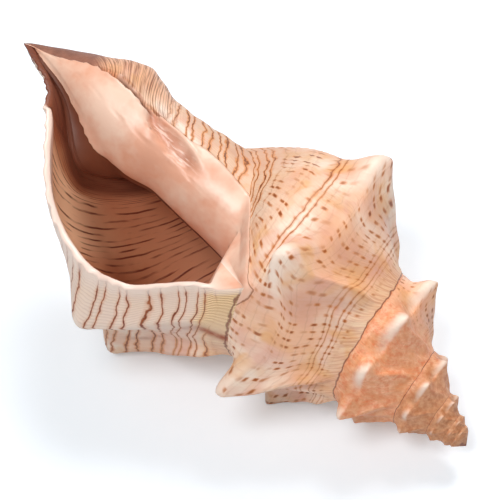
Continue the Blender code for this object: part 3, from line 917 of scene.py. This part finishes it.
# %% Skin: growth lines by the lip
LIP_LINES, LIP_LINE_SWAY = 2100, 6.0  # radians in one turn, and radians
lip_share = add(tree, "MapRange", {"Value": at["turn"], "From Min": -0.16, "From Max": -0.08})
lip_sway = add(tree, "Math", {0: at["unsteady"], 1: LIP_LINE_SWAY}, operation="MULTIPLY")
beat = add(tree, "Math", {
    0: at["turn"], 1: LIP_LINES, 2: lip_sway,
}, operation="MULTIPLY_ADD")
beat = add(tree, "Math", {0: beat}, operation="SINE")
growth_line = add(tree, "MapRange", {"Value": beat, "From Min": 0.3, "From Max": 0.95})
growth_line = add(tree, "Math", {0: growth_line, 1: lip_share}, operation="MULTIPLY")
faint_line = add(tree, "Math", {0: growth_line, 1: 0.16}, operation="MULTIPLY")
cream_share = add(tree, "Math", {0: lip_share, 1: 0.8}, operation="MULTIPLY")
coats += [(cream_share, paint("#F8E0CE")), (faint_line, paint("#A8744F"))]
print("nodes in the skin:", len(tree.nodes))

# %% Skin: honey stain and the stained line
rib_share = add(tree, "MapRange", {"Value": at["ribs"], "From Min": 0.42, "From Max": 0.64})
rib_tone = add(tree, "Mix", {
    "Factor": rib_share, "A": paint("#F6C794"), "B": paint("#CE7C40"),
}, data_type="RGBA")
lip_tone = add(tree, "Mix", {
    "Factor": growth_line, "A": paint("#FFDCA8"), "B": paint("#B4602A"),
}, data_type="RGBA")
honey_tone = add(tree, "Mix", {
    "Factor": lip_share, "A": rib_tone, "B": lip_tone,
}, data_type="RGBA")
blotchy = add(tree, "MapRange", {
    "Value": at["mottle"], "From Min": 0.3, "From Max": 0.55, "To Min": 0.5,
})
stained = add(tree, "Math", {0: at["stain"], 1: blotchy}, operation="MULTIPLY")
coats += [(at["honey"], honey_tone), (stained, paint("#A8480E"))]
print("nodes in the skin:", len(tree.nodes))

# %% [markdown]
# Knob crests are rubbed to the whitish layer under the skin, and the rub trails off backwards
# along the shoulder.

# %% Skin: rubbed crests
rub_sum = add(tree, "Math", {0: at["mottle"], 1: 0.5, 2: at["rub"]}, operation="MULTIPLY_ADD")
rub_share = add(tree, "MapRange", {
    "Value": rub_sum, "From Min": 0.40, "From Max": 1.30, "To Max": 0.92,
}, interpolation_type="SMOOTHSTEP")
coats.append((rub_share, paint("#FFE8D6")))
print("nodes in the skin:", len(tree.nodes))

# %% [markdown]
# ## The brown lines
#
# The lines run along the whorls at fixed stations, a little unsteadily. By the lip and on the neck
# they are solid hair lines, about 0.4 mm wide. On the open whorl most of them break up into rows
# of short dashes, which line up across the whorl because the snail made them in the same spell.
# Each has a soft orange edge, where the pigment spread in the layers.

# %% Skin: how near a line is
drift = add(tree, "Math", {0: at["unsteady"], 1: -0.5}, operation="ADD")
sway_most = add(tree, "MapRange", {
    "Value": at["station"], "From Min": 0.56, "From Max": 0.70, "To Min": 0.40, "To Max": 0.80,
})
pair_at = add(tree, "Math", {0: drift, 1: sway_most, 2: at["pair"]}, operation="MULTIPLY_ADD")
from_pair = add(tree, "Math", {0: pair_at, 1: 0.5}, operation="PINGPONG")
off_line = add(tree, "Math", {0: from_pair, 1: LINE_SIDE}, operation="SUBTRACT")
off_line = add(tree, "Math", {0: off_line}, operation="ABSOLUTE")
# Distance, in pairs, where each part of a line has faded out, and where it is full.
LINE_PARTS = {
    "hair": (0.050, 0.014), "edge": (0.15, 0.02), "dash": (0.17, 0.04), "halo": (0.26, 0.04),
}
near_line = {}
for part, (faded, full) in LINE_PARTS.items():
    near_line[part] = add(tree, "MapRange", {
        "Value": off_line, "From Min": faded, "From Max": full,
    }, interpolation_type="SMOOTHSTEP")
print("parts of a line:", ", ".join(near_line))

# %% Skin: dashes in columns
COLUMNS = 62  # in one turn, so they are 4 mm apart at the lip
column_sway = add(tree, "Math", {0: at["patches"], 1: 3.0}, operation="MULTIPLY")
column_at = add(tree, "Math", {
    0: at["turn"], 1: COLUMNS, 2: column_sway,
}, operation="MULTIPLY_ADD")
in_column = add(tree, "Math", {0: column_at, 1: 0.5}, operation="PINGPONG")
column = add(tree, "MapRange", {
    "Value": in_column, "From Min": 0.26, "From Max": 0.47,
}, interpolation_type="SMOOTHSTEP")
line_count = add(tree, "Math", {0: pair_at, 1: 2.0}, operation="MULTIPLY")
cell = add(tree, "CombineXYZ", {
    "X": add(tree, "Math", {0: column_at}, operation="FLOOR"),
    "Y": add(tree, "Math", {0: line_count}, operation="FLOOR"),
})
lot = add(tree, "TexWhiteNoise", {"Vector": cell}, noise_dimensions="2D")
picked = add(tree, "MapRange", {"Value": lot.outputs["Value"], "From Min": 0.10, "From Max": 0.75})
clump_share = add(tree, "MapRange", {
    "Value": at["clumps"], "From Min": 0.36, "From Max": 0.58, "To Min": 0.28,
})
spot = add(tree, "Math", {0: column, 1: picked}, operation="MULTIPLY")
spot = add(tree, "Math", {0: spot, 1: clump_share}, operation="MULTIPLY")
spread = add(tree, "Math", {0: spot, 1: 1.7}, operation="MULTIPLY", use_clamp=True)
halo = add(tree, "Math", {0: near_line["halo"], 1: spread}, operation="MULTIPLY")
# Between its dashes a line is still there, as a trace.
trace = add(tree, "Math", {0: near_line["hair"], 1: 0.12}, operation="MULTIPLY")
dashes = add(tree, "Math", {0: near_line["dash"], 1: spot}, operation="MULTIPLY")
dashes = add(tree, "Math", {0: dashes, 1: trace}, operation="MAXIMUM")
print("nodes in the skin:", len(tree.nodes))

# %% Skin: lines and dashes laid on
broken = add(tree, "MapRange", {
    "Value": at["clumps"], "From Min": 0.36, "From Max": 0.55, "To Min": 0.45,
})
broken = add(tree, "Math", {0: broken, 1: lip_share}, operation="MAXIMUM")
solid_line = add(tree, "Math", {0: near_line["hair"], 1: broken}, operation="MULTIPLY")
line_share = add(tree, "Mix", {
    "Factor": at["solid"], "A": dashes, "B": solid_line,
}, data_type="FLOAT")
line_share = add(tree, "Math", {0: line_share, 1: at["dark"]}, operation="MULTIPLY")
halo_share = add(tree, "Mix", {
    "Factor": at["solid"], "A": halo, "B": near_line["edge"],
}, data_type="FLOAT")
halo_share = add(tree, "Math", {0: halo_share, 1: at["dark"]}, operation="MULTIPLY")
halo_most = add(tree, "MapRange", {"Value": lip_share, "To Min": 0.95, "To Max": 0.40})
halo_share = add(tree, "Math", {0: halo_share, 1: halo_most}, operation="MULTIPLY")
darker = add(tree, "Math", {0: on_neck, 1: 1.6}, operation="MULTIPLY", use_clamp=True)
line_tone = add(tree, "Mix", {
    "Factor": mottle_share, "A": paint("#7A2C06"), "B": paint("#B65E20"),
}, data_type="RGBA")
line_tone = add(tree, "Mix", {
    "Factor": darker, "A": line_tone, "B": paint("#5E2A12"),
}, data_type="RGBA")
coats += [(halo_share, paint("#E08A42")), (line_share, line_tone)]
print("nodes in the skin:", len(tree.nodes))

# %% [markdown]
# The suture isn't a straight seam: the new whorl's edge laps over the old one in a wavy line. The
# mesh's seam is straight, so old skin is painted up to the wavy line, and a thin dark brown line is
# drawn along the groove.

# %% Skin: the wavy suture
suture_at = add(tree, "Math", {0: drift, 1: 0.045, 2: at["station"]}, operation="MULTIPLY_ADD")
suture_at = add(tree, "Math", {0: suture_at, 1: -0.007}, operation="ADD")
under = add(tree, "MapRange", {"Value": suture_at, "From Min": 0.001, "From Max": -0.001})
on_old = add(tree, "MapRange", {"Value": at["turn"], "From Min": -0.66, "From Max": -0.72})
under = add(tree, "Math", {0: under, 1: on_old}, operation="MULTIPLY")
suture_off = add(tree, "Math", {0: suture_at}, operation="ABSOLUTE")
suture_line = add(tree, "MapRange", {
    "Value": suture_off, "From Min": 0.0058, "From Max": 0.001, "To Max": 0.8,
}, interpolation_type="SMOOTHSTEP")
coats += [(under, terracotta), (suture_line, paint("#7E3210"))]
print("nodes in the skin:", len(tree.nodes))

# %% [markdown]
# On the old canals' ridge the lines crowd together into threads, less than 1 mm apart, and the tip
# is worn to a greyish brown. The very edge of the lip is pale, where new shell was being laid.

# %% Skin: ridge, tip and lip's edge
RIDGE_THREAD_MM, RIDGE_THREAD_SWAY = 0.838, 5.0
thread_share = add(tree, "MapRange", {
    "Value": at["threads"], "From Min": 0.50, "From Max": 0.60, "To Max": 0.8,
})
fine_sway = add(tree, "Math", {0: at["unsteady"], 1: RIDGE_THREAD_SWAY}, operation="MULTIPLY")
fine = add(tree, "Math", {
    0: at["ridge mm"], 1: 2 * math.pi / RIDGE_THREAD_MM, 2: fine_sway,
}, operation="MULTIPLY_ADD")
fine = add(tree, "Math", {0: fine}, operation="SINE")
fine_share = add(tree, "MapRange", {
    "Value": fine, "From Min": 0.3, "From Max": 0.9, "To Max": 0.45,
})
thread_share = add(tree, "Math", {0: thread_share, 1: fine_share}, operation="MAXIMUM")
near_canal = add(tree, "MapRange", {"Value": at["station"], "From Min": 0.865, "From Max": 0.885})
thread_share = add(tree, "Math", {0: thread_share, 1: near_canal}, operation="MULTIPLY")
ragged_tip = add(tree, "Math", {
    0: at["patches"], 1: 0.03, 2: at["station"],
}, operation="MULTIPLY_ADD")
tip_share = add(tree, "MapRange", {"Value": ragged_tip, "From Min": 0.948, "From Max": 0.962})
tip_tone = add(tree, "Mix", {
    "Factor": mottle_share, "A": paint("#855645"), "B": paint("#AE7660"),
}, data_type="RGBA")
new_edge = add(tree, "Math", {0: at["pale lip"], 1: 0.85}, operation="MULTIPLY")
coats += [(thread_share, paint("#8E4A26")), (tip_share, tip_tone), (new_edge, paint("#FBE2D2"))]
print("nodes in the skin:", len(tree.nodes))

# %% [markdown]
# ## Glaze over the skin
#
# The glaze is the same mineral laid as a smooth, wet-looking coat, peach with milky clouds, and its
# margin shows as a thin dark line. In the hollow behind the shield it is thin and brownish, with pale
# veins, and the hollow's lower part is a deep slit, painted near black-brown as painted shade.

# %% Skin: glaze and its margin
GLAZE_TONES = {"A": paint("#EEB092"), "B": paint("#FAD2BA")}
ragged = add(tree, "Math", {0: at["ragged"], 1: -0.5}, operation="ADD")
glaze_at = add(tree, "Math", {0: ragged, 1: 1.6, 2: at["glaze mm"]}, operation="MULTIPLY_ADD")
glaze_on = add(tree, "MapRange", {
    "Value": glaze_at, "From Min": 0.0, "From Max": 0.35,
}, interpolation_type="SMOOTHSTEP")
cloud_share = add(tree, "MapRange", {"Value": at["clouds"], "From Min": 0.42, "From Max": 0.62})
glaze_tone = add(tree, "Mix", {"Factor": cloud_share, **GLAZE_TONES}, data_type="RGBA")
hollow_tone = add(tree, "Mix", {
    "Factor": cloud_share, "A": paint("#BC7C60"), "B": paint("#DFA58C"),
}, data_type="RGBA")
vein_share = add(tree, "MapRange", {
    "Value": at["veins"], "From Min": 0.52, "From Max": 0.66, "To Max": 0.75,
})
# Painted shade: the hollow's lower part, a deep slit, is painted near black-brown.
slit_shade_share = add(tree, "MapRange", {"Value": at["drop mm"], "From Min": 111.0, "From Max": 115.0})
for share, tone in ((vein_share, "#F8DAC8"), (slit_shade_share, "#5A2E1A")):
    hollow_tone = add(tree, "Mix", {
        "Factor": share, "A": hollow_tone, "B": paint(tone),
    }, data_type="RGBA")
glaze_tone = add(tree, "Mix", {
    "Factor": at["hollow"], "A": glaze_tone, "B": hollow_tone,
}, data_type="RGBA")
margin_off = add(tree, "Math", {0: glaze_at, 1: 0.15}, operation="ADD")
margin_off = add(tree, "Math", {0: margin_off}, operation="ABSOLUTE")
margin_line = add(tree, "MapRange", {
    "Value": margin_off, "From Min": 0.32, "From Max": 0.10, "To Max": 0.7,
}, interpolation_type="SMOOTHSTEP")
no_slit = add(tree, "Math", {0: 1.0, 1: slit_shade_share}, operation="SUBTRACT")
margin_line = add(tree, "Math", {0: margin_line, 1: no_slit}, operation="MULTIPLY")
coats += [(glaze_on, glaze_tone), (margin_line, paint("#8E4A24"))]
print("nodes in the skin:", len(tree.nodes))

# %% Skin: all its coats, in order
for share, tone in coats:
    ground = add(tree, "Mix", {"Factor": share, "A": ground, "B": tone}, data_type="RGBA")
tree.links.new(ground.outputs[2], skin_shader.inputs["Base Color"])
print("coats on the skin:", len(coats))

# %% [markdown]
# Skin is rougher in some growth spells than in others, and its streaks, ribs and growth lines are
# fine ridges. The glaze is smoother and only gently uneven.

# %% Skin: gloss and fine ridges
skin_rough = add(tree, "MapRange", {
    "Value": at["spells"], "From Min": 0.3, "From Max": 0.8, "To Min": 0.42, "To Max": 0.58,
})
rough = add(tree, "Mix", {
    "Factor": glaze_on, "A": skin_rough, "B": GLAZE_ROUGHNESS,
}, data_type="FLOAT")
tree.links.new(rough.outputs[0], skin_shader.inputs["Roughness"])
ridges = add(tree, "Math", {0: at["spells"], 1: at["ribs"]}, operation="ADD")
ridges = add(tree, "Math", {0: growth_line, 1: 0.6, 2: ridges}, operation="MULTIPLY_ADD")
uneven = add(tree, "Math", {0: at["clouds"], 1: 4.0}, operation="MULTIPLY")
relief = add(tree, "Mix", {"Factor": glaze_on, "A": ridges, "B": uneven}, data_type="FLOAT")
bump = add(tree, "Bump", {"Height": relief, "Strength": 0.7, "Distance": 0.18 * MM})
tree.links.new(bump.outputs["Normal"], skin_shader.inputs["Normal"])

# %% [markdown]
# ## The lining
#
# Inside, the snail laid a brown glaze, dull where it was never rubbed, with dark threads (lirae)
# that run along the whorl, 1.7 mm apart and about half a millimetre wide. The lip's edge, the
# corner and the pillar are pale peach, in the same glaze as outside.

# %% Lining: brown glaze
LINING_MAPS = {
    "finish": ("pale mm", "on pillar", "depth mm", "lit side paint"),
    "marks": ("thread row",),
}
LINING_NOISES = {
    "clouds": CLOUDS, "unsteady": (150, 2, 0.5, 0), "ragged": (300, 2, 0.5, 0),
}
LINING_STREAKS = {"runs": ("turn", 20, "thread row", 0.9, 2, 0.5)}
tree, lining_shader, at = new_material(
    "brown glazed lining", LINING_MAPS, LINING_NOISES, LINING_STREAKS
)
cloud_share = add(tree, "MapRange", {"Value": at["clouds"], "From Min": 0.42, "From Max": 0.62})
brown = add(tree, "Mix", {
    "Factor": cloud_share, "A": paint("#B8663E"), "B": paint("#DE966A"),
}, data_type="RGBA")
# Deeper in, the brown is painted a steadier mid brown, paler than its darkest patches: painted light
# against the shade inside.
deep = add(tree, "MapRange", {"Value": at["depth mm"], "From Min": 4.0, "From Max": 60.0})
# Painted shade: in the canal the lining is painted dark brown, for the shade deep in the gutter.
canal_painted_shade = add(tree, "MapRange", {
    "Value": at["station"], "From Min": 0.74, "From Max": 0.83, "To Max": 0.9,
})
# Painted light: one coat below makes a band near the lip paler, as if lit.
coats = [
    (deep, paint("#CC8460")), (at["lit side paint"], paint("#FFCBA2")), (canal_painted_shade, paint("#6E3622")),
]

# %% Lining: dark threads
drift = add(tree, "Math", {0: at["unsteady"], 1: -0.5}, operation="ADD")
thread_at = add(tree, "Math", {0: drift, 1: 0.5, 2: at["thread row"]}, operation="MULTIPLY_ADD")
thread = add(tree, "Math", {0: thread_at, 1: 0.5}, operation="PINGPONG")
thread = add(tree, "MapRange", {
    "Value": thread, "From Min": 0.30, "From Max": 0.44,
}, interpolation_type="SMOOTHSTEP")
run_share = add(tree, "MapRange", {
    "Value": at["runs"], "From Min": 0.42, "From Max": 0.60, "To Max": 0.9,
})
thread_share = add(tree, "Math", {0: thread, 1: run_share}, operation="MULTIPLY")
coats.append((thread_share, paint("#6A220A")))

# %% Lining: pale glaze
ragged = add(tree, "Math", {0: at["ragged"], 1: -0.5}, operation="ADD")
pale_at = add(tree, "Math", {0: ragged, 1: 1.5, 2: at["pale mm"]}, operation="MULTIPLY_ADD")
pale_on = add(tree, "MapRange", {
    "Value": pale_at, "From Min": -0.7, "From Max": 0.5,
}, interpolation_type="SMOOTHSTEP")
newest = add(tree, "MapRange", {
    "Value": at["depth mm"], "From Min": 7.0, "From Max": 1.5, "To Max": 0.85,
})
on_wall = add(tree, "MapRange", {"Value": at["station"], "From Min": 0.02, "From Max": 0.10})
on_wall = add(tree, "Math", {0: on_wall, 1: at["on pillar"]}, operation="SUBTRACT", use_clamp=True)
newest = add(tree, "Math", {0: newest, 1: on_wall}, operation="MULTIPLY")
pale_tone = add(tree, "Mix", {"Factor": cloud_share, **GLAZE_TONES}, data_type="RGBA")
pale_tone = add(tree, "Mix", {
    "Factor": newest, "A": pale_tone, "B": paint("#FFE8DA"),
}, data_type="RGBA")
coats.append((pale_on, pale_tone))
for share, tone in coats:
    brown = add(tree, "Mix", {"Factor": share, "A": brown, "B": tone}, data_type="RGBA")
tree.links.new(brown.outputs[2], lining_shader.inputs["Base Color"])
print("coats on the lining:", len(coats))

# %% Lining: gloss and relief
rough = add(tree, "Mix", {"Factor": pale_on, "A": 0.50, "B": GLAZE_ROUGHNESS}, data_type="FLOAT")
tree.links.new(rough.outputs[0], lining_shader.inputs["Roughness"])
uneven = add(tree, "Math", {0: at["clouds"], 1: 3.5}, operation="MULTIPLY")
relief = add(tree, "Mix", {"Factor": pale_on, "A": thread_share, "B": uneven}, data_type="FLOAT")
bump = add(tree, "Bump", {"Height": relief, "Strength": 0.5, "Distance": 0.2 * MM})
tree.links.new(bump.outputs["Normal"], lining_shader.inputs["Normal"])
print("nodes in the lining:", len(tree.nodes))

# %% [markdown]
# ## Floor, light and camera
#
# The shell lies on matt backdrop paper, a little cool, which takes its soft shadow. So that the
# paper looks white and the lamps stay low, it also glows, but for the camera alone.

# %% Floor
PAPER_GLOW = 0.23
floor_mesh = bmesh.new()
bmesh.ops.create_grid(floor_mesh, x_segments=1, y_segments=1, size=3)
floor_data = bpy.data.meshes.new("floor")
floor_mesh.to_mesh(floor_data)
floor_mesh.free()
floor = bpy.data.objects.new("floor", floor_data)
bpy.context.scene.collection.objects.link(floor)
paper = bpy.data.materials.new("white backdrop paper")
paper.use_nodes = True
tree = paper.node_tree
matt = add(tree, "BsdfDiffuse", {"Color": paint("#EEF7FF")})
rays = add(tree, "LightPath")
lift = add(tree, "Math", {0: rays.outputs["Is Camera Ray"], 1: PAPER_GLOW}, operation="MULTIPLY")
glow = add(tree, "Emission", {"Color": (1, 1, 1, 1), "Strength": lift})
both = add(tree, "AddShader", {0: matt, 1: glow})
tree.links.new(both.outputs[0], tree.nodes["Material Output"].inputs["Surface"])
floor.data.materials.append(paper)
print("paper, m across:", floor.dimensions.x)

# %% [markdown]
# The world gives a weak even light, so that the inside of the shell isn't black, and looks white
# to the camera.

# %% World
WORLD_LIGHT = 0.20
world = bpy.data.worlds.new("studio")
world.use_nodes = True
bpy.context.scene.world = world
tree = world.node_tree
background = tree.nodes["Background"]
background.inputs["Color"].default_value = (1, 1, 1, 1)
background.inputs["Strength"].default_value = WORLD_LIGHT
seen = add(tree, "Background", {"Color": (1, 1, 1, 1), "Strength": 1.0})
rays = add(tree, "LightPath")
mixed = add(tree, "MixShader", {
    0: rays.outputs["Is Camera Ray"], 1: background.outputs[0], 2: seen.outputs[0],
})
tree.links.new(mixed.outputs[0], tree.nodes["World Output"].inputs["Surface"])

# %% [markdown]
# Two large soft lamps light it. The key light comes from the front left and brings out the knobs,
# and the top light, from behind and to the right, fills the shade.

# %% Lamps
LAMP_SIZE = 0.36


def lamp(name, place, power):
    """A square area lamp aimed at the middle of the shell."""
    light = bpy.data.lights.new(name, "AREA")
    light.size = LAMP_SIZE
    light.energy = power
    obj = bpy.data.objects.new(name, light)
    obj.location = place
    obj.rotation_euler = (Vector((0, 0, 0.03)) - Vector(place)).to_track_quat("-Z", "Y").to_euler()
    bpy.context.scene.collection.objects.link(obj)


lamp("key_light", (-0.16, -0.38, 0.86), 4.7)
lamp("top_light", (0.22, 0.42, 0.80), 5.0)

# %% [markdown]
# The camera looks down steeply from the front, through a long lens, so the shell looks as it does
# from some distance.

# %% Camera
camera_data = bpy.data.cameras.new("camera")
camera_data.sensor_width = 36.0
camera_data.lens = 194.4
camera_data.clip_start = 0.01
camera = bpy.data.objects.new("camera", camera_data)
camera.location = (0.07238, -0.41528, 0.55725)
camera.rotation_euler = [math.radians(angle) for angle in (38.348, 5.783, 2.405)]
bpy.context.scene.collection.objects.link(camera)
bpy.context.scene.camera = camera
bpy.context.scene.view_settings.view_transform = "Standard"

# %% Update the scene
bpy.context.view_layer.update()
